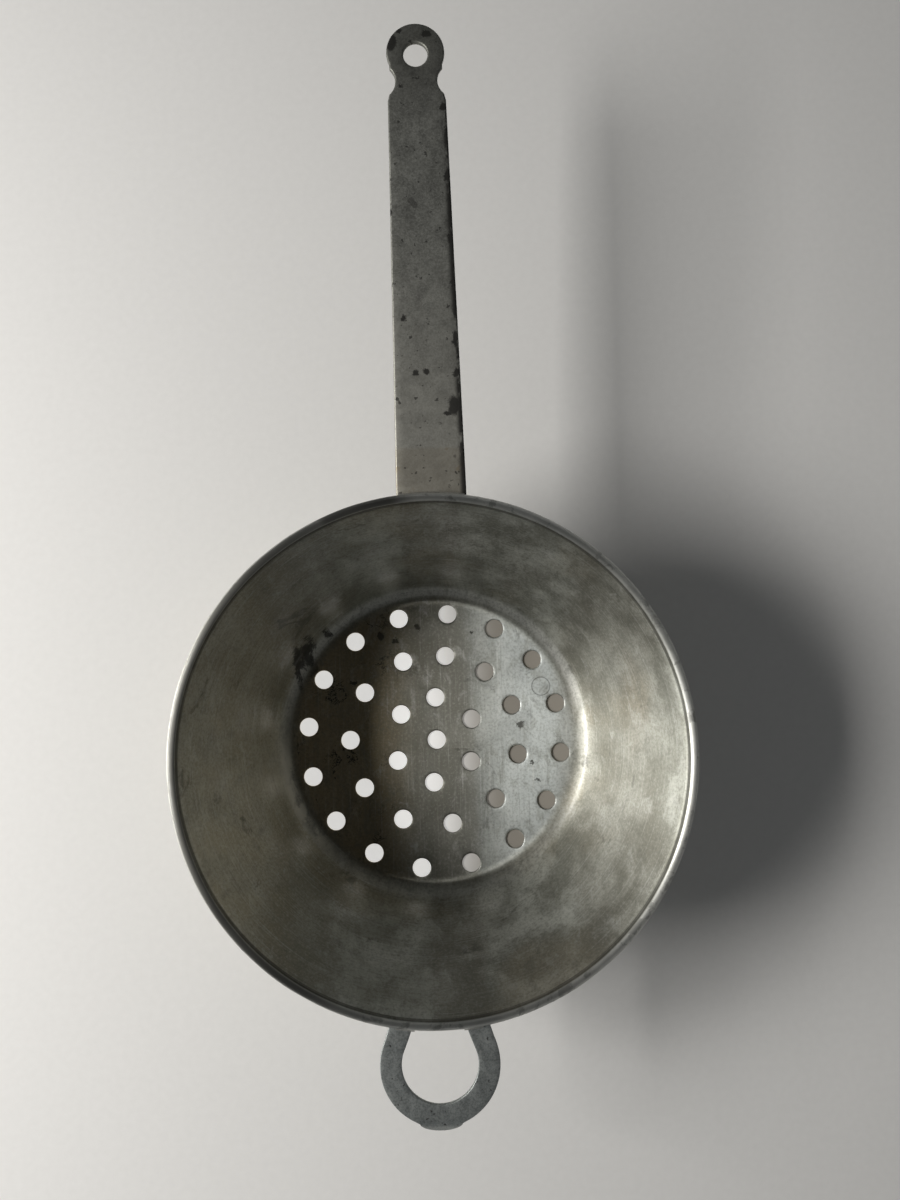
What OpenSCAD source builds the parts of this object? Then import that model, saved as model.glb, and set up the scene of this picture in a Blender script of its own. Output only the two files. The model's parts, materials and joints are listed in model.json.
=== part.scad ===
// Perforated ricing pan of tinned sheet steel.
// A round cone-sided pan with holes in its flat bottom, a wired rim, a strap handle with a
// hanging eye, and a flat horseshoe loop opposite that rests on the edge of a pot.
// The pan stands on its bottom with its axis on Z. +Y runs along the handle.
// The origin is on the axis, at the underside of the bottom.

/* [Pan] */
// Diameter over the rolled rim
rim_d = 200; // [160:1:260]
// Depth inside, from the bottom to the top of the rim
pan_depth = 68; // [40:0.5:100]
// Diameter of the inside of the bottom, where the lines of wall and bottom meet
bottom_d = 139; // [112:0.5:168]
// Inside radius of the corner between bottom and wall
corner_r = 9; // [3:0.5:14]
// Thickness of the pan's sheet
sheet = 0.8; // [0.5:0.1:1.2]

/* [Rim] */
// Diameter of the rolled bead
bead_d = 3.8; // [3:0.1:6]
// Clearance between the rim wire and the sheet rolled around it
wire_gap = 0.05; // [0.02:0.01:0.15]
// Width of the seam that the roll leaves open underneath
seam_gap = 0.5; // [0.2:0.1:1]

/* [Holes] */
// Diameter of the holes in the bottom
hole_d = 8.2; // [4:0.1:10]
// Flat margin between the outer ring of holes and the corner
hole_margin = 2.3; // [0.5:0.1:8]
// Distance that the middle hole sits off the axis
middle_hole_shift = 0.9; // [0:0.1:3]
// Holes in the inner ring
inner_count = 6; // [3:1:8]
// Angle from +X to the first hole of the inner ring
inner_start = 28; // [0:1:60]
// Angle by which the third hole of the inner ring was punched early
inner_slip = 6; // [0:0.5:10]
// Holes in the middle ring
middle_count = 11; // [10:1:14]
// Angle from +X to the first hole of the middle ring
middle_start = 111; // [0:1:360]
// Angle from hole to hole where the middle ring is spaced wide
middle_step = 34; // [20:0.5:36]
// Gaps of the middle ring that are spaced wide, the others share what is left
middle_wide_gaps = 8; // [5:1:9]
// Holes in the outer ring
outer_count = 16; // [10:1:20]
// Angle from +X to the first hole of the outer ring
outer_start = 15.5; // [0:0.5:45]

/* [Handle] */
// Length from the rim to the end of the hanging eye, along the strap
handle_length = 185.2; // [120:0.1:260]
// Width of the strap at the rim
strap_root_w = 27.3; // [20:0.1:36]
// Width of the strap at its shoulders
strap_end_w = 22.8; // [20:0.1:30]
// Thickness of the strap
strap_t = 2; // [1.2:0.1:3]
// Angle by which the handle rises away from the pan
handle_rise = 2.2; // [0:0.1:15]
// Distance that the handle sits off the pan's middle line
handle_shift = 2.6; // [0:0.1:5]
// Angle around the pan by which the handle is off the middle line
handle_turn = 0.85; // [-5:0.05:5]
// Diameter of the round end of the handle
eye_d = 22.8; // [20:0.1:30]
// Diameter of the hanging hole
eye_hole_d = 9.5; // [5:0.1:12]
// Distance from the middle of the round end back to the middle of the hanging hole
eye_hole_back = 1; // [0:0.1:2]
// Width of the neck between the strap and the round end
neck_w = 16.6; // [14:0.1:19]
// Radius of the notch on each side of the neck
notch_r = 6.8; // [4:0.1:8]
// Length of the handle's foot down the pan's wall
handle_foot_l = 24; // [12:0.5:34]

/* [Rest loop] */
// Distance from the rim to the fold of the tab
loop_reach = 34; // [22:0.1:45]
// Inside radius of the loop
loop_in_r = 14.2; // [9:0.1:20]
// Width of the loop's band
loop_band = 8.1; // [5:0.1:11]
// Width of the fold between the loop and its tab
tab_w = 15.8; // [8:0.1:18]
// Length of the tab
tab_l = 6.8; // [4:0.1:7.5]
// Angle by which the tab is folded down
tab_fold = 45; // [20:1:80]
// Angle by which each leg of the loop runs inwards on its way to the pan
leg_angle = 22; // [0:1:30]
// Angle around the pan by which the loop is off the handle's line
loop_turn = 0; // [-5:0.1:5]
// Thickness of the loop
loop_t = 1.6; // [1:0.1:2.5]
// Length of the loop's feet down the pan's wall
loop_foot_l = 15; // [8:0.5:24]

/* [Joints] */
// Clearance between the bead and the strap or loop below it, which the solder fills
bead_gap = 0.2; // [0.1:0.05:0.6]
// Distance that the solder runs out over the strap beyond the bead
solder_run = 1.4; // [0.6:0.1:3]
// Length of the bevel inside the bend between a foot and its strap or loop
bend_l = 1.5; // [0.5:0.1:3]
// Size of the cut at the lower corners of the feet
foot_corner = 4; // [1:0.1:6]
// Diameter of the spot-weld dimples pressed into the feet
dimple_d = 4.4; // [2:0.1:6]
// Depth of the spot-weld dimples
dimple_depth = 0.35; // [0.1:0.05:0.6]

/* [Hidden] */
$fn = 180;
big = 400;
// Number of sides of the holes in the bottom when they are drawn on screen.
hole_sides = 48;
// How far cutting shapes run past the faces that they cut.
cut = 1;
// How far plates run on inside the pan's wall before they are cut back to it.
spare = 5;
// How far the bottom, corner, wall and bead lap over each other, so that they are one sheet.
lap = 0.15;
// How far the solder stops short of the edges of what it joins.
edge_inset = 0.8;
// How far the tab's sides stand in from the ends of its fold.
tab_inset = 0.2;
// How far the legs' straight edges start inside the loop's round edges.
leg_inset = 0.03;
// How far down a foot its spot welds are, as a share of the foot's length.
weld_down = 0.57;
// How far out from the middle the strap's spot welds are, as a share of its width.
weld_out = 0.25;
// How far the solder's face stands in from the rim where it meets the bead.
solder_inset = 0.1;
// How far below the bead's middle the solder reaches, as a share of the bead's radius.
solder_up = 1 / 3;

// The rim: the bead's centre line, its tube and the wire inside it.
bead_r = bead_d / 2;
bead_ring_r = rim_d / 2 - bead_r;
bead_z = sheet + pan_depth - bead_r;
wire_r = bead_r - sheet - wire_gap;

// The wall's inner face runs from the bottom's corner to a tangent on the bead's tube.
bottom_r = bottom_d / 2;
wall_run = bead_ring_r - bottom_r;
wall_rise = bead_z - sheet;
wall_tilt = atan2(wall_run, wall_rise) - asin(bead_r / norm([wall_run, wall_rise]));
wall_len = sqrt(wall_run * wall_run + wall_rise * wall_rise - bead_r * bead_r);
corner_set = corner_r * tan((90 - wall_tilt) / 2);
corner_x = bottom_r - corner_set;
ring_pitch = (corner_x - hole_margin - hole_d / 2) / 3;

// Radius of the wall's outer face at height z.
function wall_out_r(z) = bottom_r + sheet / cos(wall_tilt) + (z - sheet) * tan(wall_tilt);

// The handle's frame: its own origin is where its top face comes closest under the bead.
strap_y0 = bead_ring_r + (bead_r + bead_gap) * sin(handle_rise);
strap_z0 = bead_z - (bead_r + bead_gap) * cos(handle_rise);
strap_end = handle_length + (rim_d / 2 - strap_y0) / cos(handle_rise);
eye_y = strap_end - eye_d / 2;
eye_hole_y = eye_y - eye_hole_back;
notch_x = neck_w / 2 + notch_r;
notch_y = eye_y - eye_d / 2;
shoulder_y = notch_y - sqrt(notch_r * notch_r - pow(notch_x - strap_end_w / 2, 2));
neck_block_w = (neck_w + eye_d) / 2 + cut;
strap_in = strap_y0 - wall_out_r(strap_z0) + strap_t;
strap_slope = (strap_root_w - strap_end_w) / 2 / shoulder_y;
// Height of the strap's top face where it reaches the wall.
strap_root_z = strap_z0 - (strap_y0 - wall_out_r(strap_z0)) * tan(handle_rise);

// The rest loop, drawn with -Y outwards from the pan's axis.
loop_top = bead_z - bead_r - bead_gap;
loop_out_r = loop_in_r + loop_band;
fold_y = rim_d / 2 + loop_reach;
loop_c = fold_y - sqrt(loop_out_r * loop_out_r - tab_w * tab_w / 4);
tab_plan_l = tab_l * cos(tab_fold);
tab_half = tab_w / 2 - tab_inset;
tab_plan_r = (tab_half * tab_half + tab_plan_l * tab_plan_l) / (2 * tab_plan_l);
leg_y = wall_out_r(loop_top);
foot_in_x = leg_x(loop_in_r, leg_y);
foot_out_x = leg_x(loop_out_r, leg_y);
foot_w = foot_out_x - foot_in_x;
foot_mid_x = (foot_in_x + foot_out_x) / 2;

// Sideways distance of a leg's edge at distance y from the axis, for the round edge of radius r.
function leg_x(r, y) = r * cos(leg_angle) - (loop_c - r * sin(leg_angle) - y) * tan(leg_angle);

// One hole, at radius r and an angle from +X.
module hole_at(r, angle) {
    rotate([0, 0, angle]) translate([r, 0, -cut])
        cylinder(d = hole_d, h = sheet + 2 * cut, $fn = hole_sides);
}

module inner_holes() {
    for (i = [0 : inner_count - 1])
        hole_at(ring_pitch, inner_start + i * 360 / inner_count - (i == 2 ? inner_slip : 0));
}

// The wide gaps come first, and the last holes close up what is left of the circle.
module middle_holes() {
    left_over = 360 - middle_wide_gaps * middle_step;
    close_gaps = middle_count - middle_wide_gaps;
    for (i = [0 : middle_count - 1]) {
        wide = min(i, middle_wide_gaps);
        hole_at(2 * ring_pitch,
                middle_start + wide * middle_step + (i - wide) * left_over / close_gaps);
    }
}

module outer_holes() {
    for (i = [0 : outer_count - 1])
        hole_at(3 * ring_pitch, outer_start + i * 360 / outer_count);
}

// A strip along the wall's line, from distance a to b up the line, low to high off it.
module wall_strip(a, b, low, high) {
    translate([bottom_r, sheet]) rotate(-wall_tilt) translate([low, a]) square([high - low, b - a]);
}

// The corner between bottom and wall, as part of a ring in section. It stops just short of both
// ends of its turn, where the bottom and the wall lap over it.
module corner_section() {
    lap_angle = lap / corner_r * 180 / PI;
    low = lap_angle - 90;
    high = -wall_tilt - lap_angle;
    translate([corner_x, sheet + corner_r]) intersection() {
        difference() {
            circle(corner_r + sheet);
            circle(corner_r);
        }
        polygon([[0, 0], big * [cos(low), sin(low)], [big, -big], big * [cos(high), sin(high)]]);
    }
}

// The bead in section: the sheet rolled outwards around the wire, with its seam left open.
module bead_section() {
    translate([bead_ring_r, bead_z]) difference() {
        circle(bead_r);
        circle(bead_r - sheet);
        rotate(-wall_tilt) translate([-bead_r + sheet, -bead_r]) square([seam_gap, bead_r]);
    }
}

module pan_section() {
    square([corner_x + 2 * lap, sheet]);
    corner_section();
    wall_strip(corner_set - 2 * lap, wall_len - lap, 0, sheet);
    bead_section();
}

// The space that the pan takes up, which the feet, strap and loop are cut back to.
module pan_space() {
    cylinder(r1 = wall_out_r(0), r2 = wall_out_r(bead_z), h = bead_z);
    translate([0, 0, bead_z]) rotate_extrude() translate([bead_ring_r, 0]) circle(bead_r);
}

module pan() color("#9a9a98") difference() {
    rotate_extrude() pan_section();
    translate([middle_hole_shift, 0, 0]) hole_at(0, 0);
    inner_holes();
    middle_holes();
    outer_holes();
}

module rim_wire() color("#6e6e6c") translate([0, 0, bead_z]) rotate_extrude()
    translate([bead_ring_r, 0]) circle(wire_r);

// A foot's outline seen from outside: width w, from height low to high, its lower corners cut off.
module foot_outline(w, low, high) {
    c = min(foot_corner, w / 4);
    polygon([[-w / 2, high], [-w / 2, low + c], [c - w / 2, low],
             [w / 2 - c, low], [w / 2, low + c], [w / 2, high]]);
}

// A foot against the pan's wall at +Y, sideways x: plate thickness t, length l down from height
// top, with a bevel inside the bend below a strap that rises at the angle rise.
module foot(x, w, t, l, top, rise) {
    r = wall_out_r(top - t) + t / cos(wall_tilt);
    intersection() {
        union() {
            rotate_extrude()
                wall_strip((top - l) / cos(wall_tilt) - spare, top / cos(wall_tilt) + spare, 0, sheet + t);
            rotate_extrude() polygon([
                [r - t, top - t - bend_l], [r - bend_l * tan(wall_tilt), top - t - bend_l],
                [r + bend_l, top - t + bend_l * tan(rise)], [r + bend_l, top], [r - t, top]]);
        }
        translate([x, 0, 0]) rotate([90, 0, 180]) linear_extrude(big / 2)
            foot_outline(w, top - l, top - t / 2);
    }
}

// A shallow round dent in the outer face of a foot, at height z and sideways distance x.
module dimple(x, z, t) {
    ball_r = (dimple_d * dimple_d / 4 + dimple_depth * dimple_depth) / (2 * dimple_depth);
    reach = wall_out_r(z) + t / cos(wall_tilt);
    rotate([0, 0, -asin(x / reach)]) translate([0, reach, z]) rotate([-wall_tilt, 0, 0])
        translate([0, ball_r - dimple_depth, 0]) sphere(ball_r, $fn = 96);
}

module strap_frame() {
    translate([handle_shift, strap_y0, strap_z0]) rotate([handle_rise, 0, 0]) children();
}

// The strap from above: straight edges that draw in to the shoulders.
module strap_outline() {
    root = strap_root_w / 2;
    end = strap_end_w / 2;
    back = root + strap_slope * strap_in;
    polygon([[-back, -strap_in], [back, -strap_in], [end, shoulder_y], [-end, shoulder_y]]);
}

// The neck and round end from above, with a round notch on each side of the neck.
module eye_outline() {
    translate([0, eye_y]) circle(d = eye_d);
    difference() {
        union() {
            translate([-strap_end_w / 2, shoulder_y - cut])
                square([strap_end_w, notch_y - shoulder_y + cut]);
            translate([-neck_block_w / 2, notch_y - cut]) square([neck_block_w, eye_y - notch_y]);
        }
        for (side = [-1, 1]) translate([side * notch_x, notch_y]) circle(notch_r);
    }
}

module handle() color("#6b6b69") rotate([0, 0, handle_turn]) difference() {
    union() {
        strap_frame() translate([0, 0, -strap_t]) linear_extrude(strap_t) {
            strap_outline();
            eye_outline();
        }
        foot(handle_shift, strap_root_w, strap_t, handle_foot_l, strap_root_z, handle_rise);
    }
    pan_space();
    strap_frame() translate([0, eye_hole_y, -strap_t - cut])
        cylinder(d = eye_hole_d, h = strap_t + 2 * cut);
    for (side = [-1, 1])
        dimple(handle_shift + side * strap_root_w * weld_out,
               strap_root_z - handle_foot_l * weld_down, strap_t);
}

// One edge of the loop from above: a circle with two legs that run in to the pan's wall.
module loop_outline(r, y) {
    near = r - leg_inset;
    translate([0, -loop_c]) circle(r);
    polygon([[near * cos(leg_angle), -loop_c + near * sin(leg_angle)], [leg_x(near, y), -y],
             [-leg_x(near, y), -y], [-near * cos(leg_angle), -loop_c + near * sin(leg_angle)]]);
}

// The loop and its tab from above.
module loop_plan() {
    difference() {
        union() {
            difference() {
                loop_outline(loop_out_r, leg_y - spare);
                translate([-big / 2, -fold_y - big]) square(big);
            }
            translate([0, tab_plan_r - tab_plan_l - fold_y]) circle(tab_plan_r);
        }
        loop_outline(loop_in_r, leg_y - spare - cut);
    }
}

// The loop from the side: a level plate whose tab is folded down beyond the fold.
module loop_side() {
    end = fold_y + tab_plan_l + cut;
    drop = (tab_plan_l + cut) * tan(tab_fold);
    under = loop_t * tan(tab_fold / 2);
    end_under = loop_t / cos(tab_fold);
    polygon([[0, loop_top], [fold_y, loop_top], [end, loop_top - drop],
             [end, loop_top - drop - end_under], [fold_y - under, loop_top - loop_t],
             [0, loop_top - loop_t]]);
}

module rest_loop() color("#777a7c") rotate([0, 0, loop_turn]) difference() {
    union() {
        intersection() {
            linear_extrude(big) loop_plan();
            translate([big / 2, 0, 0]) rotate([90, 0, -90]) linear_extrude(big) loop_side();
        }
        for (side = [-1, 1]) rotate([0, 0, 180])
            foot(side * foot_mid_x, foot_w, loop_t, loop_foot_l, loop_top, 0);
    }
    pan_space();
    for (side = [-1, 1]) rotate([0, 0, 180])
        dimple(side * foot_mid_x, loop_top - loop_foot_l * weld_down, loop_t);
}

// Solder in section: a wedge from the top face below up to the bead, hollowed towards the corner.
module solder_section(z) {
    top = bead_z - bead_r * solder_up;
    difference() {
        polygon([[bead_ring_r, z], [rim_d / 2 + solder_run, z], [rim_d / 2 - solder_inset, top],
                 [bead_ring_r, top]]);
        translate([bead_ring_r, bead_z]) circle(bead_r);
    }
}

module handle_solder() color("#c8c8c4") rotate([0, 0, handle_turn]) difference() {
    intersection() {
        rotate_extrude() solder_section(strap_z0 - cut);
        translate([handle_shift - strap_root_w / 2 + edge_inset, 0, 0])
            cube([strap_root_w - 2 * edge_inset, big, big]);
    }
    strap_frame() translate([-big / 2, -big / 2, -big]) cube([big, big, big]);
}

// The solder of the leg on one side of the loop.
module loop_solder(side) {
    color("#c8c8c4") rotate([0, 0, 180 + loop_turn]) intersection() {
        rotate_extrude() solder_section(loop_top);
        translate([side * foot_mid_x - foot_w / 2 + edge_inset, 0, 0])
            cube([foot_w - 2 * edge_inset, big, big]);
    }
}

module loop_solder_left() loop_solder(1);

module loop_solder_right() loop_solder(-1);

pan();
rim_wire();
handle();
rest_loop();
handle_solder();
loop_solder_left();
loop_solder_right();
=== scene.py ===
"""Looks of a tinned steel ricing pan: detailed meshes around its CAD frame, worn tin, floor and light."""

import json

import bpy
from functools import reduce
from math import acos, asin, atan2, ceil, cos, hypot, pi, radians, sin, sqrt, tan
from mathutils import Matrix, Vector, geometry, noise
from types import SimpleNamespace


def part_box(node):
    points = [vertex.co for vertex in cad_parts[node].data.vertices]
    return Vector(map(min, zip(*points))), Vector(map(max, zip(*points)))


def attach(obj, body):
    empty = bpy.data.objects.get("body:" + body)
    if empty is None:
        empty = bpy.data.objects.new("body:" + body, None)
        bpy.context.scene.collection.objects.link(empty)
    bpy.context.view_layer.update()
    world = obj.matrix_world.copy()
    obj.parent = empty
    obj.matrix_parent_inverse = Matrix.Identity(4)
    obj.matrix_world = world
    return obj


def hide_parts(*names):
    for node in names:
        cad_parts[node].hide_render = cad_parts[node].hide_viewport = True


MM = 0.001

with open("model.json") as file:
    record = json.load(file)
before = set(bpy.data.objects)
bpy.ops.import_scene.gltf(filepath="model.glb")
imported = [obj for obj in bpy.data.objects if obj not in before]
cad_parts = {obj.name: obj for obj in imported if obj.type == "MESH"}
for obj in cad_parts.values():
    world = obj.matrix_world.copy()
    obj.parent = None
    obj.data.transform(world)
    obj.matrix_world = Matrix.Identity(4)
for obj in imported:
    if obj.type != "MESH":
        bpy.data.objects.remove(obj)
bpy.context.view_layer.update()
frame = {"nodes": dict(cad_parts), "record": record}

# ---------------------------------------------------------------- sizes, in metres

RECORD = frame["record"]
MOUNTS = {m["name"]: m for m in RECORD["mounts"]}
PAN_LOW, PAN_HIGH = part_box("pan")

# The mesh of the CAD rim stops just short of its true circle, and so does this pan.
RIM_R = (PAN_HIGH.x - PAN_LOW.x) / 2
RIM_TOP = PAN_HIGH.z
SHEET = 0.8 * MM
BEAD_R = 1.9 * MM
BEAD_RING_R = RIM_R - BEAD_R
BEAD_INNER_R = BEAD_RING_R - BEAD_R + 0.1 * MM
BEAD_Z = RIM_TOP - BEAD_R
BOTTOM_R = 69.5 * MM
CORNER_R = 9 * MM
# How much of a full turn the bead leaves open underneath.
SEAM = radians(42)
CREASE_DEPTH = 0.48 * MM
CREASE_HALF_W = 1.3 * MM

HOLE_R = 4.1 * MM
RING_PITCH = 19 * MM
PLATE_R = 63.2 * MM
# A hole's edge from top to bottom, in mm: how far outside the hole, and how far below the top face.
PUNCHED_LIP = [(1.3, 0), (0.85, 0.015), (0.5, 0.05), (0.22, 0.12), (0.06, 0.22), (0, 0.34)]

PAN_SEGMENTS = 400
HOLE_SEGMENTS = 44
CORNER_STEPS = 14
WALL_STEPS = 30
BEAD_STEPS = 28
PLATE_GRID = 3.2 * MM
HANDLE_GRID = 2.4 * MM
LOOP_GRID = 1.7 * MM

WALL_RUN = BEAD_RING_R - BOTTOM_R
WALL_RISE = BEAD_Z - SHEET
WALL_TILT = atan2(WALL_RUN, WALL_RISE) - asin(BEAD_R / hypot(WALL_RUN, WALL_RISE))
CORNER_X = BOTTOM_R - CORNER_R * tan((pi / 2 - WALL_TILT) / 2)

# The handle's foot, the loop's feet and the tab end a little short of the CAD ones.
STRAP_T = MOUNTS["hanging_eye"]["dims"]["length_mm"] * MM
STRAP_ROOT_W = 27.3 * MM
STRAP_END_W = 22.8 * MM
STRAP_EDGE = 0.75 * MM
HANDLE_RISE = radians(2.2)
HANDLE_TURN = radians(0.85)
EYE_R = STRAP_END_W / 2
EYE_HOLE_R = MOUNTS["hanging_eye"]["dims"]["r_mm"] * MM
NECK_W = 16.6 * MM
NOTCH_R = 6.8 * MM
EYE_HOLE_BACK = 1 * MM
HANDLE_FOOT = 21 * MM
HANDLE_FOOT_CORNER = 4 * MM
HANDLE_BEND_R = 1.9 * MM
BEAD_GAP = 0.2 * MM
WRAP_L = 7 * MM

LOOP_T = 1.6 * MM
LOOP_IN_R = 14.2 * MM
LOOP_BAND = 8.1 * MM
LOOP_EDGE = 0.3 * MM
LOOP_TOP = MOUNTS["loop_underside"]["pos_m"][2] + LOOP_T
LEG_ANGLE = radians(22)
LOOP_FOOT = 12.8 * MM
LOOP_BEND_R = 1.5 * MM
FOLD_Y = 134 * MM
TAB_W = 15.8 * MM
TAB_L = 6 * MM
TAB_FOLD = radians(45)
TAB_FOLD_R = 1.4 * MM


def wall_out_r(z):
    """Radius of the wall's outer face at height z."""
    return BOTTOM_R + SHEET / cos(WALL_TILT) + (z - SHEET) * tan(WALL_TILT)


def hole_centres():
    """The holes in the bottom: one a little off the middle, and three rings of them."""
    centres = [(0.9 * MM, 0)]

    def add(ring, degrees):
        r, a = ring * RING_PITCH, radians(degrees)
        centres.append((r * cos(a), r * sin(a)))

    slipped, slip = 2, 6
    for i in range(6):
        add(1, 28 + 60 * i - (slip if i == slipped else 0))
    wide_step, wide_gaps = 34, 8
    narrow_step = (360 - wide_gaps * wide_step) / (11 - wide_gaps)
    for i in range(11):
        wide = min(i, wide_gaps)
        add(2, 111 + wide * wide_step + (i - wide) * narrow_step)
    for i in range(16):
        add(3, 15.5 + 22.5 * i)
    return centres


# ---------------------------------------------------------------- mesh tools

def part_way(value, low, high):
    """0 at low, 1 at high, straight in between and level beyond."""
    return max(0.0, min(1.0, (value - low) / (high - low)))


def waver(x, y, z, scale, seed=0.0):
    """Smooth noise from about -1 to 1, with bumps about scale metres apart."""
    return noise.noise(Vector((x / scale + seed, y / scale - seed, z / scale + 2 * seed)))


def make_object(name, verts, faces):
    """A smooth-shaded piece of the object, which rides on its one body."""
    mesh = bpy.data.meshes.new(name)
    mesh.from_pydata([tuple(v) for v in verts], [], faces)
    mesh.validate()
    mesh.shade_smooth()
    obj = bpy.data.objects.new(name, mesh)
    bpy.context.scene.collection.objects.link(obj)
    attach(obj, "root")
    return obj


def arc(cx, cy, r, start, end, step):
    """Points on an arc from angle start to angle end, in radians, about step apart."""
    count = max(2, ceil(abs(end - start) * r / step))
    return [(cx + r * cos(start + (end - start) * i / count), cy + r * sin(start + (end - start) * i / count))
            for i in range(count + 1)]


def line(a, b, step):
    """Points on a straight line from a to b, both ends left out, about step apart."""
    count = max(1, ceil(hypot(b[0] - a[0], b[1] - a[1]) / step))
    return [(a[0] + (b[0] - a[0]) * i / count, a[1] + (b[1] - a[1]) * i / count) for i in range(1, count)]


def circle(cx, cy, r, count):
    """Points on a circle, counter-clockwise, or clockwise where count is negative."""
    return [(cx + r * cos(2 * pi * i / count), cy + r * sin(2 * pi * i / count)) for i in range(abs(count))]


def mirrored(right):
    """A counter-clockwise outline from its right half."""
    return right + [(-x, y) for x, y in reversed(right) if abs(x) > 1e-6]


def outward(loop, i):
    """Outward direction and mitre at point i of a counter-clockwise loop."""
    a, b, c = Vector(loop[i - 1]), Vector(loop[i]), Vector(loop[(i + 1) % len(loop)])
    n1 = Vector(((b - a).y, -(b - a).x)).normalized()
    n2 = Vector(((c - b).y, -(c - b).x)).normalized()
    n = (n1 + n2).normalized()
    return n / max(n.dot(n1), 0.5)


def inset(loop, distance):
    """The loop moved inwards by distance, or outwards on a clockwise loop around a hole."""
    return [tuple(Vector(p) - outward(loop, i) * distance) for i, p in enumerate(loop)]


def inside(p, loop):
    """Whether point p is inside a loop."""
    odd = False
    for (x1, y1), (x2, y2) in zip(loop, loop[1:] + loop[:1]):
        if (y1 > p[1]) != (y2 > p[1]) and p[0] < x1 + (p[1] - y1) * (x2 - x1) / (y2 - y1):
            odd = not odd
    return odd


def fill(loops, grid):
    """Triangles between the first loop and the other loops, which are holes, with points on a grid."""
    edges, points = [], []
    for loop in loops:
        start = len(points)
        points += [Vector(p) for p in loop]
        edges += [(start + i, start + (i + 1) % len(loop)) for i in range(len(loop))]
    xs, ys = [p[0] for p in loops[0]], [p[1] for p in loops[0]]
    rim = list(points)
    for row in range(int((max(ys) - min(ys)) / grid) + 1):
        for column in range(int((max(xs) - min(xs)) / grid) + 1):
            p = (min(xs) + (column + 0.5 * (row % 2)) * grid, min(ys) + row * grid)
            near = min((v.x - p[0]) ** 2 + (v.y - p[1]) ** 2 for v in rim) < (0.55 * grid) ** 2
            if not near and inside(p, loops[0]) and not any(inside(p, hole) for hole in loops[1:]):
                points.append(Vector(p))
    verts, _, faces, _, _, _ = geometry.delaunay_2d_cdt(points, edges, [], 0, 1e-7)
    if len(verts) != len(points):
        raise RuntimeError("an outline crosses itself")
    kept = []
    for face in faces:
        c = sum((verts[i] for i in face), Vector((0, 0))) / len(face)
        if inside(c, loops[0]) and not any(inside(c, hole) for hole in loops[1:]):
            kept.append(tuple(face))
    return [tuple(v) for v in verts], kept


def bands(rows):
    """Faces between closed rows of points, from the upper row to the lowest."""
    faces = []
    for upper, lower in zip(rows, rows[1:]):
        n = len(upper)
        faces += [(upper[i], lower[i], lower[(i + 1) % n], upper[(i + 1) % n]) for i in range(n)]
    return faces


def plate(loops, thickness, edge, grid, place, steps=4):
    """A plate with rounded edges. The first loop is its outline, counter-clockwise, and the others are
    holes, clockwise. place(x, y, w) puts a point of the flat plate, w below its top face, in space."""
    flat, tris = fill([inset(loop, edge) for loop in loops], grid)
    count = len(flat)
    verts = [place(x, y, 0) for x, y in flat] + [place(x, y, thickness) for x, y in flat]
    faces = list(tris) + [tuple(i + count for i in reversed(t)) for t in tris]
    start = 0
    for loop in loops:
        end = start + len(loop)
        rows = [list(range(start, end))]
        for k in range(1, 2 * steps):
            a = pi / 2 * k / steps
            w = edge * (1 - cos(a)) if k < steps else thickness - edge * (1 + cos(a))
            if k == steps:
                w = thickness / 2
            rows.append([len(verts) + i for i in range(len(loop))])
            verts += [place(x, y, w) for x, y in inset(loop, edge * (1 - sin(a)))]
        rows.append(list(range(start + count, end + count)))
        faces += bands(rows)
        start = end
    return verts, faces


def folded(s, radius, turn):
    """Where a strip gets to, s beyond the start of a bend: along, down, and the angle turned."""
    if s <= 0:
        return s, 0, 0
    a = min(s / radius, turn)
    rest = s - a * radius
    return radius * sin(a) + rest * cos(a), radius * (1 - cos(a)) + rest * sin(a), a


# ---------------------------------------------------------------- the pan

def wall_points(start, end, crease):
    """Points up the wall from its corner to its bead, closer together near the bead, where it is creased."""
    points = []
    for i in range(1, WALL_STEPS):
        p = Vector(start).lerp(Vector(end), 1 - (1 - i / WALL_STEPS) ** 2)
        near = (Vector(end) - p).length
        sunk = crease * max(0.0, 1 - abs(near / CREASE_HALF_W - 1)) ** 2
        points.append((p.x + sunk * cos(WALL_TILT), p.y - sunk * sin(WALL_TILT)))
    return points


def pan_section():
    """The pan's sheet in section, outside the bottom plate: radius and height, inner face first."""
    inner, outer = [(PLATE_R, SHEET)], [(PLATE_R, 0)]
    for i in range(CORNER_STEPS + 1):
        a = (pi / 2 - WALL_TILT) * i / CORNER_STEPS
        inner.append((CORNER_X + CORNER_R * sin(a), SHEET + CORNER_R * (1 - cos(a))))
        outer.append((CORNER_X + (CORNER_R + SHEET) * sin(a), SHEET + CORNER_R - (CORNER_R + SHEET) * cos(a)))
    turns = [pi - WALL_TILT - (2 * pi - SEAM) * i / BEAD_STEPS for i in range(BEAD_STEPS + 1)]
    for points, r, crease in ((inner, BEAD_R, CREASE_DEPTH), (outer, BEAD_R - SHEET, 0)):
        bead = [(BEAD_RING_R + r * cos(a), BEAD_Z + r * sin(a)) for a in turns]
        points += wall_points(points[-1], bead[0], crease) + bead
    return inner, outer


def dent(r, z, angle):
    """Small unevenness of the spun sheet, in and out along the radius."""
    x, y = r * cos(angle), r * sin(angle)
    bead = part_way(z, RIM_TOP - 8 * MM, RIM_TOP - 3 * MM)
    wall = part_way(z, 4 * MM, 16 * MM) * (1 - bead)
    soft = waver(x, y, z, 45 * MM, 3.1) * 0.3 * MM + waver(x, y, z, 14 * MM, 8.2) * 0.05 * MM
    rolled = waver(x, y, 0, 12 * MM, 5.7) * 0.09 * MM - 0.1 * MM
    return soft * wall + rolled * bead


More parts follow.
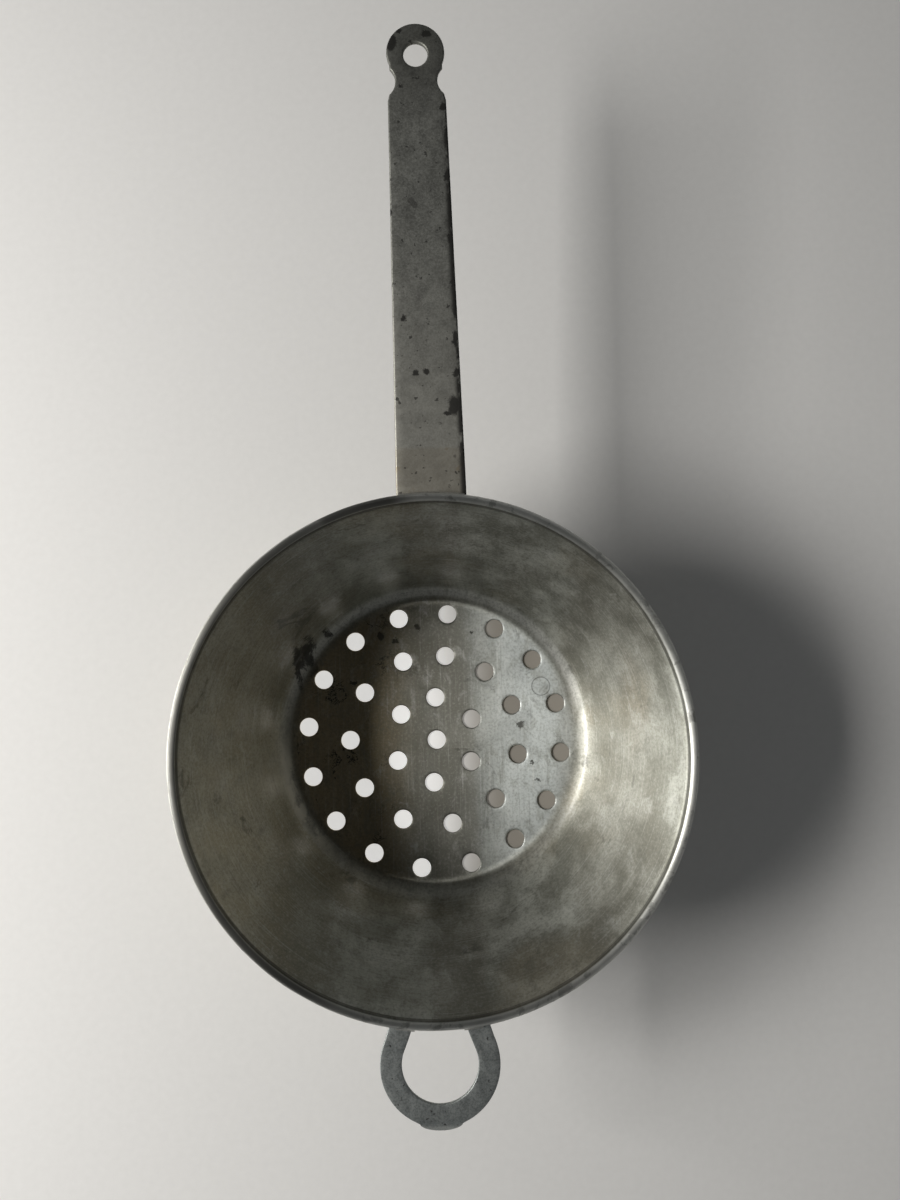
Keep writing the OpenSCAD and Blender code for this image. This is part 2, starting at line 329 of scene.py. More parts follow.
def base_lift(x, y):
    """Height of the bottom's slight unevenness over the surface that it stands on."""
    fade = part_way(hypot(x, y), PLATE_R, PLATE_R - 14 * MM)
    return fade * (0.12 + 0.11 * waver(x, y, 0, 26 * MM, 1.7)) * MM


def spun(section):
    """Points and faces of the section turned around the pan's axis."""
    verts, faces = [], []
    n = len(section)
    for k in range(PAN_SEGMENTS):
        a = 2 * pi * k / PAN_SEGMENTS
        for r, z in section:
            moved = r + dent(r, z, a)
            verts.append((moved * cos(a), moved * sin(a), z))
        here, after = k * n, (k + 1) % PAN_SEGMENTS * n
        faces += [(here + i, here + i + 1, after + i + 1, after + i) for i in range(n - 1)]
    return verts, faces


def punched_edge(verts, centre, top, under):
    """Faces of a hole's rounded edge, between its loop of points in the top face and the one underneath."""
    levels = [(dr, SHEET - dz * MM) for dr, dz in PUNCHED_LIP[1:]]
    levels += [(dr * 0.5, dz * MM * 0.7) for dr, dz in PUNCHED_LIP[:0:-1]]
    rows = [top]
    for dr, z in levels:
        rows.append([len(verts) + i for i in range(HOLE_SEGMENTS)])
        loop = circle(*centre, HOLE_R + dr * MM, -HOLE_SEGMENTS)
        verts += [(x, y, z + base_lift(x, y)) for x, y in loop]
    return bands(rows + [under])


def build_pan():
    """The pan: a spun wall, and a bottom plate with punched holes that shares the wall's lowest points."""
    inner, outer = pan_section()
    section = inner + outer[::-1]
    verts, faces = spun(section)
    n = len(section)
    holes = [circle(x, y, HOLE_R + PUNCHED_LIP[0][0] * MM, -HOLE_SEGMENTS) for x, y in hole_centres()]
    flat, tris = fill([circle(0, 0, PLATE_R, PAN_SEGMENTS)] + holes, PLATE_GRID)
    sides = []
    for height, on_section in ((SHEET, 0), (0, n - 1)):
        index = [k * n + on_section for k in range(PAN_SEGMENTS)]
        for x, y in flat[PAN_SEGMENTS:]:
            index.append(len(verts))
            verts.append((x, y, height + base_lift(x, y)))
        sides.append(index)
    top, under = sides
    faces += [tuple(top[i] for i in t) for t in tris]
    faces += [tuple(under[i] for i in reversed(t)) for t in tris]
    for number, centre in enumerate(hole_centres()):
        start = PAN_SEGMENTS + number * HOLE_SEGMENTS
        end = start + HOLE_SEGMENTS
        faces += punched_edge(verts, centre, top[start:end], under[start:end])
    obj = make_object("pan_sheet", verts, faces)
    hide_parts("pan")
    return obj


# ---------------------------------------------------------------- the handle

class StrapFrame:
    """Where a strap starts under the bead, in a plane through the pan's axis, and where it meets the wall."""

    def __init__(self, top_z, rise, thickness, radius):
        self.t, self.radius = thickness, radius
        self.along = Vector((cos(rise), sin(rise)))
        self.up = Vector((-sin(rise), cos(rise)))
        self.start = Vector((BEAD_RING_R + (BEAD_R + BEAD_GAP) * sin(rise), top_z))
        self.turn = pi / 2 - WALL_TILT - rise
        middle = self.start - self.up * thickness / 2
        wall_r = wall_out_r(middle.y) + thickness / 2 / cos(WALL_TILT)
        self.corner_u = (wall_r - middle.x) / (self.along.x - self.along.y * tan(WALL_TILT))
        self.bend_u = self.corner_u + radius * tan(self.turn / 2)

    def point(self, u, w):
        """Radius and height at u along the strap from its start, w below its top face."""
        along, down, angle = folded(self.bend_u - u, self.radius, self.turn)
        origin = self.start + self.along * self.bend_u - self.up * self.t / 2
        p = origin - self.along * along - self.up * down
        out = self.up * cos(angle) - self.along * sin(angle)
        return p + out * (self.t / 2 - w)

    def place(self, x, u, w):
        """A point of the flat strap in space, pointing along +Y: near the wall it wraps around the pan."""
        p = self.point(u, w)
        wrap = part_way(u, self.bend_u + WRAP_L, self.bend_u)
        wrap = wrap * wrap * (3 - 2 * wrap)
        a = x / p.x
        y = p.x * (1 - wrap) + p.x * cos(a) * wrap
        return Vector((x * (1 - wrap) + p.x * sin(a) * wrap, y, p.y))


def handle_outline(root_u, eye_u):
    """The strap, its shoulders, neck and round end, as a flat blank."""
    step = 0.9 * MM
    soft = 0.8 * MM
    notch_u = eye_u - EYE_R
    notch_x = NECK_W / 2 + NOTCH_R
    shoulder_u = notch_u - sqrt(NOTCH_R ** 2 - (notch_x - STRAP_END_W / 2) ** 2)
    throat_x = (NECK_W / 2 + EYE_R) / 2 + 0.5 * MM
    half = STRAP_ROOT_W / 2
    corner_u = root_u + HANDLE_FOOT_CORNER
    right = [(0, root_u)] + line((0, root_u), (half - HANDLE_FOOT_CORNER, root_u), step)
    right += arc(half - HANDLE_FOOT_CORNER, corner_u, HANDLE_FOOT_CORNER, -pi / 2, 0, step)
    right += line((half, corner_u), (half, 0), step) + [(half, 0)]
    right += line((half, 0), (STRAP_END_W / 2, shoulder_u - soft), step * 1.6)
    low = atan2(shoulder_u + soft - notch_u, (STRAP_END_W - soft) / 2 - notch_x)
    high = acos((throat_x - notch_x) / NOTCH_R)
    right += arc(notch_x, notch_u, NOTCH_R, low % (2 * pi), high, step)
    throat = (throat_x, notch_u + NOTCH_R * sin(high))
    right += line(throat, (throat_x, eye_u - sqrt(EYE_R ** 2 - throat_x ** 2)), step)
    return mirrored(right + arc(0, eye_u, EYE_R, -acos(throat_x / EYE_R), pi / 2, step))


def build_handle():
    """The handle's strap, turned a little about the pan's axis, with its eye where the record has it."""
    turn = Matrix.Rotation(HANDLE_TURN, 4, "Z")
    eye = turn.inverted() @ Vector(MOUNTS["hanging_eye"]["pos_m"])
    top_z = BEAD_Z - (BEAD_R + BEAD_GAP) * cos(HANDLE_RISE)
    strap = StrapFrame(top_z, HANDLE_RISE, STRAP_T, HANDLE_BEND_R)
    eye_hole_u = (eye.y - strap.start.x - STRAP_T / 2 * sin(HANDLE_RISE)) / cos(HANDLE_RISE)
    outline = handle_outline(strap.corner_u - HANDLE_FOOT, eye_hole_u + EYE_HOLE_BACK)
    hole = arc(0, eye_hole_u, EYE_HOLE_R, 0, -2 * pi, 0.8 * MM)[:-1]

    def place(x, u, w):
        p = strap.place(x + eye.x, u, w)
        free = part_way(u, 12 * MM, 72 * MM)
        p.z -= free * (0.12 + 0.12 * waver(x, u, 0, 40 * MM, 4.4)) * MM
        p.x += free * 0.1 * MM * waver(0, u, 0, 50 * MM, 2.2)
        return turn @ p

    verts, faces = plate([outline, hole], STRAP_T, STRAP_EDGE, HANDLE_GRID, place)
    obj = make_object("handle_strap", verts, faces)
    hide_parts("handle")
    return obj


# ---------------------------------------------------------------- the rest loop

def loop_outline(strap):
    """The loop as a flat blank: its outline with two legs and the tab, u outwards from the strap's start."""
    step = 0.7 * MM
    out_r = LOOP_IN_R + LOOP_BAND
    fold_u = FOLD_Y - strap.start.x
    centre_u = fold_u - sqrt(out_r ** 2 - TAB_W ** 2 / 4)
    leg_u = strap.corner_u
    root_u = leg_u - LOOP_FOOT
    tab_r = (TAB_W ** 2 / 4 + TAB_L ** 2) / (2 * TAB_L)

    def leg_x(r):
        """Where the side of a leg that leaves the circle of radius r reaches the wall."""
        return r * cos(LEG_ANGLE) - (centre_u - r * sin(LEG_ANGLE) - leg_u) * tan(LEG_ANGLE)

    outer_x, inner_x = leg_x(out_r), leg_x(LOOP_IN_R)
    corner = (outer_x - inner_x) / 3
    right = arc(0, centre_u, LOOP_IN_R, pi / 2, -LEG_ANGLE, step)
    right += line(right[-1], (inner_x, leg_u), step) + [(inner_x, leg_u)]
    right += line((inner_x, leg_u), (inner_x, root_u + corner), step)
    right += arc(inner_x + corner, root_u + corner, corner, -pi, -pi / 2, step)
    right += line(right[-1], (outer_x - corner, root_u), step)
    right += arc(outer_x - corner, root_u + corner, corner, -pi / 2, 0, step)
    right += line((outer_x, root_u + corner), (outer_x, leg_u), step) + [(outer_x, leg_u)]
    outer = arc(0, centre_u, out_r, -LEG_ANGLE, atan2(fold_u - centre_u, TAB_W / 2), step)
    right += line((outer_x, leg_u), outer[0], step) + outer
    tab_low = asin((tab_r - TAB_L) / tab_r)
    right += arc(0, fold_u + TAB_L - tab_r, tab_r, tab_low, pi / 2, step)[1:]
    return mirrored(right), fold_u


def build_loop():
    """The rest loop, which points along -Y, with its tab folded down."""
    strap = StrapFrame(LOOP_TOP, 0, LOOP_T, LOOP_BEND_R)
    outline, fold_u = loop_outline(strap)
    turn = Matrix.Rotation(pi, 4, "Z")
    fold_start = fold_u - TAB_FOLD_R * tan(TAB_FOLD / 2)
    sag = 0.06 * MM

    def place(x, u, w):
        if u <= fold_start:
            p = strap.place(x, u, w)
            p.z -= part_way(u, 6 * MM, 16 * MM) * sag * (1 + waver(x, u, 0, 12 * MM, 6.1))
            return turn @ p
        along, down, angle = folded(u - fold_start, TAB_FOLD_R, TAB_FOLD)
        h = LOOP_T / 2 - w
        y = strap.start.x + fold_start + along + h * sin(angle)
        return turn @ Vector((x, y, LOOP_TOP - LOOP_T / 2 - down + h * cos(angle) - sag))

    verts, faces = plate([outline], LOOP_T, LOOP_EDGE, LOOP_GRID, place, steps=3)
    obj = make_object("rest_loop_band", verts, faces)
    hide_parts("rest_loop")
    return obj


# ---------------------------------------------------------------- materials

class Nodes:
    """Short calls for building a node material."""

    def __init__(self, name):
        self.material = bpy.data.materials.new(name)
        self.material.use_nodes = True
        self.tree = self.material.node_tree
        self.shader = self.tree.nodes["Principled BSDF"].inputs
        self.coords = self.tree.nodes.new("ShaderNodeTexCoord").outputs["Object"]
        parts = self.tree.nodes.new("ShaderNodeSeparateXYZ")
        self.tree.links.new(self.coords, parts.inputs[0])
        self.x, self.y, self.z = parts.outputs

    def put(self, socket, value):
        """Links a socket to value, or sets it."""
        if isinstance(value, bpy.types.NodeSocket):
            self.tree.links.new(value, socket)
        else:
            socket.default_value = value

    def math(self, operation, a, b=0.0):
        node = self.tree.nodes.new("ShaderNodeMath")
        node.operation = operation
        self.put(node.inputs[0], a)
        self.put(node.inputs[1], b)
        return node.outputs[0]

    def times(self, *values):
        return reduce(lambda a, b: self.math("MULTIPLY", a, b), values)

    def most(self, *values):
        return reduce(lambda a, b: self.math("MAXIMUM", a, b), values)

    def plus(self, a, b):
        return self.math("ADD", a, b)

    def minus(self, a, b):
        return self.math("SUBTRACT", a, b)

    def gap(self, a, b):
        """How far a and b are apart."""
        return self.math("ABSOLUTE", self.minus(a, b))

    def xyz(self, x, y, z):
        node = self.tree.nodes.new("ShaderNodeCombineXYZ")
        for socket, value in zip(node.inputs, (x, y, z)):
            self.put(socket, value)
        return node.outputs[0]

    def vector(self, operation, a, b):
        """The node of a vector operation on a vector and a constant one."""
        node = self.tree.nodes.new("ShaderNodeVectorMath")
        node.operation = operation
        self.put(node.inputs[0], a)
        node.inputs[1].default_value = b
        return node

    def scaled(self, vector, scale):
        """A vector with each part multiplied by scale's."""
        return self.vector("MULTIPLY", vector, scale).outputs["Vector"]

    def distance(self, vector, point):
        return self.vector("DISTANCE", vector, point).outputs["Value"]

    def noise(self, vector, scale, detail=3.0, roughness=0.55, distortion=0.0, seed=0.0):
        node = self.tree.nodes.new("ShaderNodeTexNoise")
        node.noise_dimensions = "4D"
        self.put(node.inputs["Vector"], vector)
        node.inputs["W"].default_value = seed
        node.inputs["Scale"].default_value = scale
        node.inputs["Detail"].default_value = detail
        node.inputs["Roughness"].default_value = roughness
        node.inputs["Distortion"].default_value = distortion
        return node.outputs["Fac"]

    def ramp(self, value, low, high):
        """0 up to low, 1 from high on, and a smooth step between. High may be below low."""
        node = self.tree.nodes.new("ShaderNodeMapRange")
        node.interpolation_type = "SMOOTHSTEP"
        self.put(node.inputs["Value"], value)
        limits = (low, high, 0.0, 1.0) if low <= high else (high, low, 1.0, 0.0)
        for name, limit in zip(("From Min", "From Max", "To Min", "To Max"), limits):
            node.inputs[name].default_value = limit
        return node.outputs["Result"]

    def patches(self, spots, rag):
        """Ragged patches, each given as x, y, radius and length over width, in mm. rag is in mm too."""
        wobble = self.tree.nodes.new("ShaderNodeTexNoise")
        self.put(wobble.inputs["Vector"], self.coords)
        wobble.inputs["Scale"].default_value = 300
        wobble.inputs["Detail"].default_value = 6
        wobble.inputs["Roughness"].default_value = 0.8
        moved = self.vector("MULTIPLY_ADD", wobble.outputs["Color"], (rag * MM, rag * MM, 0))
        self.put(moved.inputs[2], self.coords)
        masks = [0.0]
        for x, y, r, long in spots:
            flat = self.scaled(moved.outputs["Vector"], (1, 1 / long, 0))
            centre = ((x + rag / 2) * MM, (y + rag / 2) / long * MM, 0)
            masks.append(self.ramp(self.distance(flat, centre), r * MM, r * 0.6 * MM))
        return self.most(*masks)

    def mix(self, factor, a, b):
        """Colour a with the share factor of colour b."""
        node = self.tree.nodes.new("ShaderNodeMix")
        node.data_type = "RGBA"
        sockets = {(s.name, s.type): s for s in node.inputs}
        self.put(sockets["Factor", "VALUE"], factor)
        self.put(sockets["A", "RGBA"], a)
        self.put(sockets["B", "RGBA"], b)
        return next(s for s in node.outputs if s.type == "RGBA")

    def layered(self, tone, layers):
        """A tone with layers over it, each one a mask and its colour."""
        for mask, colour in layers:
            tone = self.mix(mask, tone, colour)
        return tone

    def bump(self, height, strength, distance, normal=None):
        node = self.tree.nodes.new("ShaderNodeBump")
        node.inputs["Strength"].default_value = strength
        node.inputs["Distance"].default_value = distance
        self.put(node.inputs["Height"], height)
        if normal is not None:
            self.put(node.inputs["Normal"], normal)
        return node.outputs["Normal"]


def rgb(r, g, b):
    return (r, g, b, 1.0)


# Marks as x, y, radius and length over width, in mm.
BASE_STAINS = [(-23, 47.5, 2.4, 1), (-17, 45, 1.6, 1), (-7, 51, 1.4, 1.2), (-36.5, 26.5, 1.8, 0.6),
               (-55, 35, 3.5, 2), (38.8, 6, 1.9, 0.9), (43.5, -11, 1.7, 0.5), (46, -19, 1.5, 0.4),
               (18.4, 48.2, 1.6, 0.5)]
CORNER_STAINS = [(-60, 34, 2.6, 5), (-55.5, 41, 4.2, 2), (-47, 49, 2.6, 1.2)]
# Bands along Y, darker: painted shade where the pan gets less light, on its top, bottom and right walls and
# the middle of its bottom, and stain on its left.
SHADE_AND_STAIN_BANDS = [(-52, 62, 20, 20), (72, -46, 20, 18), (0, 84, 14, 14), (8, -84, 14, 14)]
EYE_WEAR = [(-11, 277.5, 2.8, 1.5), (2.8, 280.7, 2.6, 0.7), (-8, 282, 1.4, 1)]
EDGE_WEAR = [(9, 251.6, 1.8, 1.2), (10.2, 224, 2, 1.5), (10.6, 199, 1.4, 2.5), (10.8, 134, 3.2, 1.5),
             (8.4, 131, 1.8, 0.7), (11.7, 147, 1.8, 1.5), (11.6, 160, 1.4, 3), (11.5, 182, 1.6, 1.5)]
STRAP_SPOTS = [(-3.9, 147.2, 1.5, 1), (0.1, 147.3, 1.4, 0.9), (-8.3, 168.5, 1.4, 1.2),
               (-12.6, 210, 1, 2), (-7.9, 260, 1.4, 0.6)]
STRAP_SCRATCHES = [(-9.8, 134, 5.5, 1.6), (-2, 160, 4, 2)]
PUNCH_MARK = (48.6 * MM, 23 * MM, SHEET)
STRAP_EDGE_X = 17.6 * MM
STRAP_EDGE_SLOPE = 0.0289


def base_marks(n, p):
    """Black stains and cracks on the bottom, and the mark of a punch that slipped."""
    veins = n.gap(n.noise(n.coords, 24, 6, 0.7, 2.2, 9.0), 0.5)
    broken = n.ramp(n.noise(n.coords, 60, 3, 0.6, 0.6, 10.0), 0.5, 0.6)
    cracks = n.times(n.ramp(veins, 0.014, 0.004), broken, n.ramp(n.x, -8 * MM, -30 * MM))
    punch = n.gap(n.distance(n.coords, PUNCH_MARK), HOLE_R)
    ring = n.times(n.ramp(punch, 0.4 * MM, 0.1 * MM), 0.5)
    return n.times(n.most(n.times(n.patches(BASE_STAINS, 7), 0.8), cracks, ring), p.on_base)


def bead_wear_and_shade(n, p):
    """How dark the rolled rim is: painted shade in its inner crease and on its inside on the left, the side
    turned from the light, and wear in patches and by the handle.
    """
    # painted shade in the crease where the wall meets the bead
    crease = n.ramp(n.gap(p.radius, BEAD_INNER_R), 0.42 * MM, 0.1 * MM)
    crease = n.times(crease, n.ramp(n.z, 50 * MM, 60 * MM))
    patchy = n.times(p.on_bead, n.ramp(n.noise(n.coords, 150, 6, 0.65, 0.5, 7.0), 0.53, 0.62))
    by_handle = n.times(p.on_bead, n.ramp(n.gap(p.angle, -0.28), 0.24, 0.12))
    # painted shade on the bead's inside on the left, which faces away from the light
    left = n.times(n.ramp(n.x, -10 * MM, -55 * MM), p.on_bead)
    painted_shade_inside_left = n.times(left, n.ramp(p.radius, BEAD_RING_R + 1.5 * MM, BEAD_RING_R + 0.7 * MM))
    return n.most(n.times(crease, 0.7), n.times(patchy, 0.45), n.times(painted_shade_inside_left, 0.75),
                  n.times(by_handle, 0.8))


def pan_places(n):
    """Masks for the places on the pan, and the textures that its tone, roughness and bump share."""
    p = SimpleNamespace()
    p.angle = n.math("ARCTAN2", n.x, n.y)
    p.radius = n.math("POWER", n.plus(n.times(n.x, n.x), n.times(n.y, n.y)), 0.5)
    p.on_base = n.ramp(p.radius, 66 * MM, 60 * MM)
    p.on_wall = n.minus(1.0, p.on_base)
    p.on_bead = n.ramp(p.radius, BEAD_INNER_R, BEAD_INNER_R + 0.7 * MM)
    p.corner = n.ramp(n.gap(p.radius, 67 * MM), 3.2 * MM, 0.8 * MM)
    around = n.xyz(n.times(p.angle, 0.09), n.times(n.z, 3.0), p.radius)
    spun_lines = n.noise(n.scaled(around, (22, 700, 700)), 1.0, 5, 0.65)
    rolled_lines = n.noise(n.scaled(n.coords, (800, 22, 22)), 1.0, 5, 0.65)
    p.brushed = n.plus(n.times(rolled_lines, p.on_base), n.times(spun_lines, p.on_wall))
    p.cloud = n.noise(n.coords, 45, 6, 0.62, 0.3, 1.0)
    p.fine = n.noise(n.coords, 900, 5, 0.7, 0.0, 3.0)
    p.smudge = n.noise(n.scaled(n.coords, (1, 0.55, 0.55)), 130, 7, 0.72, 0.8, 4.0)
    return p


def corner_scuffs_and_highlight(n, p):
    """How far the corner is lightened on its left side: scuffs, and a painted highlight of the light that the
    lit right wall reflects there.
    """
    side = n.times(n.ramp(n.x, -30 * MM, -50 * MM), n.ramp(p.smudge, 0.4, 0.54))
    return n.times(p.corner, side, n.ramp(n.gap(n.y, -22 * MM), 30 * MM, 12 * MM))


def tin_dark(n, p):
    """How dark the tin is stained, marked or worn, with painted shade in the bead's crease and on its inside
    on the left.
    """
    stains = n.ramp(n.noise(n.coords, 60, 7, 0.7, 1.2, 5.0), 0.58, 0.68)
    corner = n.times(n.patches(CORNER_STAINS, 8), n.ramp(p.smudge, 0.42, 0.52))
    return n.most(n.times(stains, 0.4), n.times(corner, 0.85), base_marks(n, p), bead_wear_and_shade(n, p))


def tin_regions(n, p):
    """Layers of tone by place: warm areas; the bottom's right half paler, painted light where the window's
    light falls;
    its left half and the pan's left side browner, a painted reflection tint in the shaded half; its middle
    darker, painted shadow; darker bands along Y, mostly painted shade; and a lighter ring along the corner,
    strongest at the top."""
    broad = n.noise(n.coords, 14, 3, 0.5, 0.2, 2.0)
    warm = n.times(n.ramp(broad, 0.5, 0.62), n.plus(0.12, n.times(p.on_wall, 0.3)))
    # painted reflection tint: warmer on the pan's shaded left side
    warm = n.most(warm, n.times(n.ramp(n.x, -40 * MM, -75 * MM), 0.55))
    # painted shadow: the middle of the bottom, where the rim's shadow edge falls
    middle = n.times(n.ramp(n.x, 34 * MM, 10 * MM), n.ramp(n.x, -50 * MM, -24 * MM))
    upper = n.plus(0.15, n.times(n.ramp(n.y, -10 * MM, 45 * MM), 0.55))
    return [(warm, rgb(0.42, 0.36, 0.25)),
            # painted light: the bottom's right half paler, where the window's light falls past the rim
            (n.times(n.ramp(n.x, -12 * MM, 45 * MM), p.on_base, 0.7), rgb(0.6, 0.64, 0.64)),
            # painted reflection tint: the bottom's shaded left half browner
            (n.times(n.ramp(n.x, -2 * MM, -28 * MM), p.on_base, 0.75), rgb(0.6, 0.46, 0.25)),
            (n.times(middle, p.on_base, 0.5), rgb(0.08, 0.08, 0.065)),
            # darker bands along Y: mostly painted shade, partly stain
            (n.times(n.patches(SHADE_AND_STAIN_BANDS, 6), 0.35), rgb(0.17, 0.15, 0.11)),
            (n.times(p.corner, upper), rgb(0.85, 0.85, 0.8))]


def tin_grain(n, p):
    """Layers of tone from smudges, brush lines and grain, dark and bright ones of each."""
    return [(n.times(n.ramp(p.smudge, 0.5, 0.62), 0.4), rgb(0.24, 0.24, 0.2)),
            (n.times(n.ramp(p.smudge, 0.46, 0.36), 0.25), rgb(0.72, 0.72, 0.68)),
            (n.times(n.ramp(p.brushed, 0.54, 0.68), 0.32), rgb(0.18, 0.18, 0.16)),
            (n.times(n.ramp(p.brushed, 0.46, 0.32), 0.3), rgb(0.74, 0.74, 0.7)),
            (n.times(n.ramp(p.fine, 0.5, 0.58), 0.3), rgb(0.18, 0.18, 0.155)),
            (n.times(n.ramp(p.fine, 0.47, 0.39), 0.14), rgb(0.74, 0.74, 0.69))]


def brush_direction(n, p):
    """Across the brush lines: along X on the bottom, and up the slope on the wall."""
    steep = n.times(n.ramp(n.z, 1 * MM, 9 * MM), 2.5)
    out_x = n.times(n.math("DIVIDE", n.x, p.radius), p.on_wall)
    out_y = n.times(n.math("DIVIDE", n.y, p.radius), p.on_wall)
    return n.xyz(n.plus(out_x, p.on_base), out_y, steep)


def tinned_sheet():
    """Old hot tin on spun sheet: brushed around the walls and along Y on the bottom, stained and scuffed,
    with painted light, shade and reflection tints in its colour.
    """
    n = Nodes("tinned_sheet")
    p = pan_places(n)
    scuffs_and_highlight, dark = corner_scuffs_and_highlight(n, p), tin_dark(n, p)
    cloudy = n.ramp(p.cloud, 0.4, 0.6)
    tone = n.mix(cloudy, rgb(0.35, 0.35, 0.3), rgb(0.53, 0.535, 0.48))
    tone = n.layered(tone, tin_regions(n, p) + tin_grain(n, p))
    tone = n.mix(n.times(p.on_bead, 0.75), tone, rgb(0.74, 0.74, 0.7))
    # painted highlight and scuffs on the corner's left side
    tone = n.mix(n.times(scuffs_and_highlight, 0.85), tone, rgb(0.9, 0.85, 0.72))
    # the dark marks include painted shade on the bead
    n.put(n.shader["Base Color"], n.mix(dark, tone, rgb(0.045, 0.043, 0.036)))
    n.put(n.shader["Metallic"], n.minus(1.0, n.times(scuffs_and_highlight, 0.6)))

    rough = n.plus(0.43, n.times(cloudy, 0.08))
    rough = n.plus(rough, n.times(p.brushed, 0.12))
    rough = n.minus(rough, n.times(p.on_bead, 0.06))
    n.put(n.shader["Roughness"], n.plus(rough, n.times(dark, 0.12)))
    n.put(n.shader["Tangent"], brush_direction(n, p))
    n.put(n.shader["Anisotropic"], 0.75)
    n.put(n.shader["Coat Weight"], 0.35)
    n.put(n.shader["Coat Roughness"], 0.16)

    coarse = n.bump(p.cloud, 0.1, 0.4 * MM)
    lines = n.bump(p.brushed, 0.4, 0.04 * MM, coarse)
    n.put(n.shader["Coat Normal"], coarse)
    n.put(n.shader["Normal"], n.bump(p.fine, 0.25, 0.04 * MM, lines))
    return n.material


def dull_tin(name, dark, light, seed, marks=None):
    """Oxidised tin on a plate: mottled grey with black specks. marks adds wear, with some painted shade, and
    layers of tone.
    """
    n = Nodes(name)
    cloud = n.noise(n.coords, 130, 7, 0.75, 0.6, seed)
    grain = n.noise(n.coords, 1300, 5, 0.75, 0.0, seed + 1)
    specks = n.ramp(n.noise(n.coords, 420, 3, 0.6, 0.0, seed + 2), 0.62, 0.68)
    # the dark marks hold wear and, on the strap, painted shade along its right edge
    worn, layers = marks(n) if marks else (0.0, [])
    black = n.most(n.times(specks, 0.8), worn)
    tone = n.mix(n.ramp(cloud, 0.32, 0.68), dark, light)
    grains = [(n.times(n.ramp(grain, 0.51, 0.59), 0.22), rgb(0.55, 0.55, 0.52)),
              (n.times(n.ramp(grain, 0.49, 0.41), 0.33), rgb(0.07, 0.07, 0.065))]
    tone = n.layered(tone, grains + layers + [(black, rgb(0.025, 0.024, 0.022))])
    n.put(n.shader["Base Color"], tone)
    n.put(n.shader["Roughness"], n.plus(n.plus(0.42, n.times(cloud, 0.2)), n.times(black, 0.2)))
    n.put(n.shader["Metallic"], 0.85)
    n.put(n.shader["Normal"], n.bump(grain, 0.35, 0.07 * MM, n.bump(cloud, 0.25, 0.2 * MM)))
    return n.material


def strap_wear_and_edge_shade(n):
    """Black on the strap: tin worn off in spots, around the eye and in dents, and along the right edge, the
    side turned from the light, wear and painted shade together.
    """
    spots = n.patches(EYE_WEAR + EDGE_WEAR + STRAP_SPOTS, 4.2)
    # painted shade, with wear, along the strap's right edge, which is turned from the light
    from_edge = n.minus(n.minus(STRAP_EDGE_X, n.times(n.y, STRAP_EDGE_SLOPE)), n.x)
    ragged = n.noise(n.scaled(n.coords, (1, 0.4, 1)), 150, 4, 0.65, 0.0, 14.0)
    edge_wear_and_shade = n.times(n.ramp(from_edge, 3.2 * MM, 1.0 * MM), n.ramp(ragged, 0.4, 0.5))
    edge_wear_and_shade = n.times(edge_wear_and_shade, n.ramp(n.y, 262 * MM, 255 * MM))
    dents = n.ramp(n.noise(n.coords, 170, 2, 0.4, 0.0, 16.0), 0.68, 0.74)
    return n.most(n.times(n.most(spots, edge_wear_and_shade), 0.92), n.times(dents, 0.6))


def strap_marks(n):
    """The strap's wear and painted edge shade, and its layers: dark by the eye, lighter by the pan, warm at
    its root, scratches.
    """
    top = n.times(n.ramp(n.y, 238 * MM, 272 * MM), 0.5)
    low = n.times(n.ramp(n.y, 215 * MM, 118 * MM), 0.36)
    rust = n.times(n.ramp(n.noise(n.coords, 210, 3, 0.5, 0.0, 15.0), 0.6, 0.68), 0.5)
    warm = n.times(n.ramp(n.y, 118.6 * MM, 116.8 * MM), n.plus(0.3, rust))
    lines = n.noise(n.scaled(n.coords, (1, 0.12, 1)), 700, 2, 0.5, 0.3, 17.0)
    scratches = n.times(n.ramp(lines, 0.66, 0.7), n.patches(STRAP_SCRATCHES, 4), 0.8)
    return strap_wear_and_edge_shade(n), [(top, rgb(0.07, 0.07, 0.06)), (low, rgb(0.52, 0.5, 0.44)),
                           (warm, rgb(0.3, 0.255, 0.185)), (scratches, rgb(0.65, 0.63, 0.57))]


def floor_material():
    """Pale paper, with painted light and shade under the pan: its left side glows a little as painted light,
    and its right side is painted brown shade, so that the holes read as openings."""
    n = Nodes("pale_floor")
    grain = n.noise(n.coords, 300, 3, 0.5)
    under = n.ramp(n.distance(n.coords, (0, 0, 0)), 64 * MM, 61 * MM)
    tone = n.mix(grain, rgb(0.74, 0.73, 0.71), rgb(0.8, 0.79, 0.77))
    # painted shade: the floor under the pan's right side darkened brown
    brown = n.times(under, n.ramp(n.x, -5 * MM, 32 * MM), 0.9)
    tone = n.mix(brown, tone, rgb(0.24, 0.215, 0.18))
    # painted light: the floor under the pan's left side glows, though it is no lamp
    glow = n.plus(0.02, n.times(n.ramp(n.x, 42 * MM, -20 * MM), 0.78))
    n.put(n.shader["Base Color"], tone)
    n.put(n.shader["Roughness"], 0.9)
    n.put(n.shader["Specular IOR Level"], 0.1)
    n.put(n.shader["Emission Color"], tone)
    n.put(n.shader["Emission Strength"], n.times(under, glow))
    return n.material


def dress(obj, material):
    """Gives an object one material in place of its own."""
    obj.data.materials.clear()
    obj.data.materials.append(material)


# ---------------------------------------------------------------- camera, floor and light

